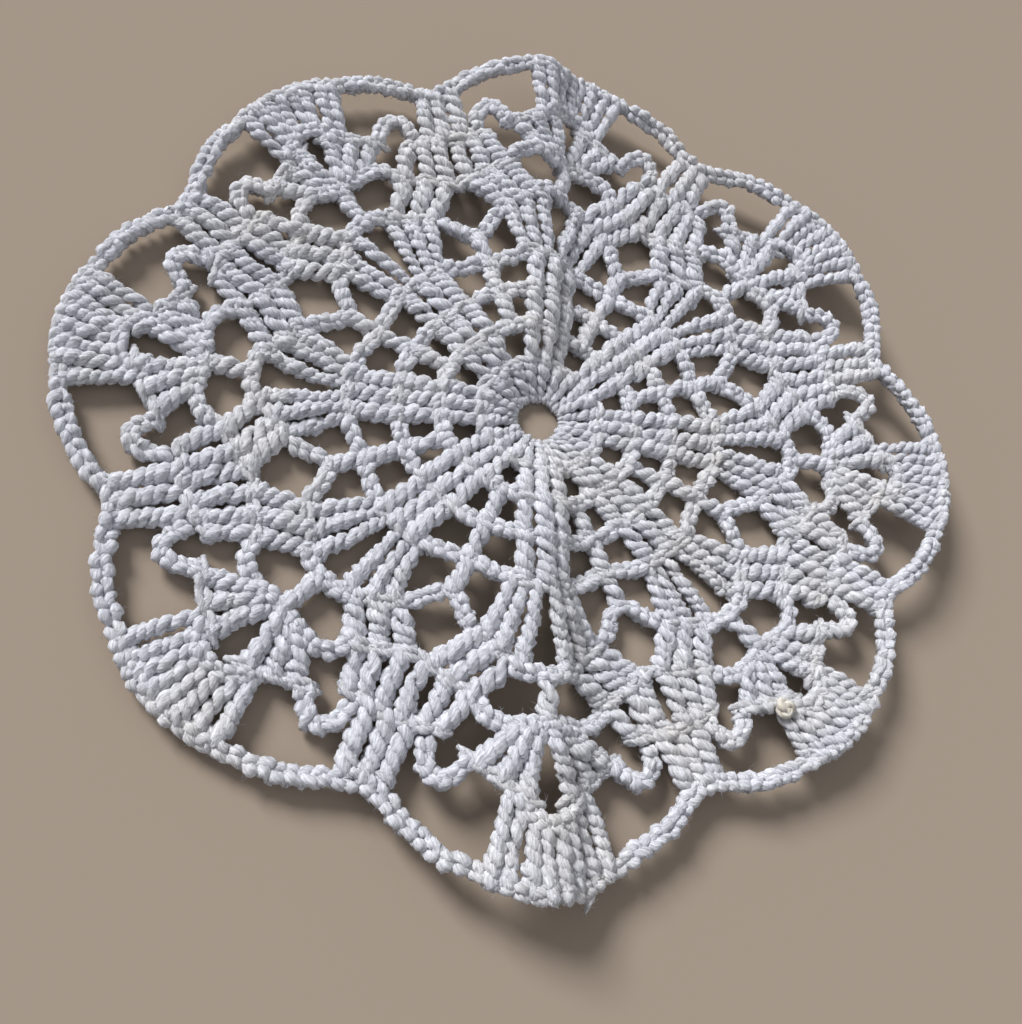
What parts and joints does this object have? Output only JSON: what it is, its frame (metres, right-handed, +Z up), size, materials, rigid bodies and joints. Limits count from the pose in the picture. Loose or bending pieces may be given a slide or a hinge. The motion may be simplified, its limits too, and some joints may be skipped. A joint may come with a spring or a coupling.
{
  "type": "crocheted doily",
  "caption": "Round white cotton doily crocheted as a mesh centre, leaf-shaped ribs and fans, with a scalloped corded edge, lying loosely with a soft fold and a raised rim.",
  "frame": {"origin": "on the surface it lies on, under the middle of the starting ring", "axes": "+Z up out of the cloth; +X through the middle of one fan; +Y along the soft fold"},
  "size_m": [0.238, 0.2306, 0.0159],
  "materials": {
    "white_yarn": "matt",
    "ivory_yarn": "matt",
    "cream_yarn": "matt"
  },
  "bodies": {
    "root": {"starting_ring": "ivory_yarn", "round_1_posts": "white_yarn", "round_1_crown": "ivory_yarn", "round_2_groups": "white_yarn", "round_2_crowns": "ivory_yarn", "round_2_chain_spaces": "white_yarn", "round_3_groups": "white_yarn", "round_3_crowns": "ivory_yarn", "round_3_single_posts": "white_yarn", "round_3_chain_spaces": "white_yarn", "round_4_groups": "white_yarn", "round_4_crowns": "ivory_yarn", "round_4_single_posts": "white_yarn", "round_4_chain_spaces": "white_yarn", "round_5_split_groups": "white_yarn", "round_5_crowns": "ivory_yarn", "round_5_single_posts": "white_yarn", "round_5_fork_chains": "white_yarn", "round_5_sloping_chains": "white_yarn", "round_6_leaf_sides": "white_yarn", "round_6_crowns": "ivory_yarn", "round_6_single_posts": "white_yarn", "round_6_chain_arms": "white_yarn", "round_7_leaf_ribs": "white_yarn", "round_7_crowns": "ivory_yarn", "round_7_shells": "white_yarn", "round_7_shell_crowns": "ivory_yarn", "round_7_shell_chains": "white_yarn", "round_7_chain_arcs": "white_yarn", "round_8_leaf_tips": "white_yarn", "round_8_fans": "white_yarn", "edge_fan_cords": "ivory_yarn", "edge_arches": "white_yarn", "fastening_knot": "cream_yarn", "yarn_tail": "ivory_yarn"}
  },
  "joints": []
}
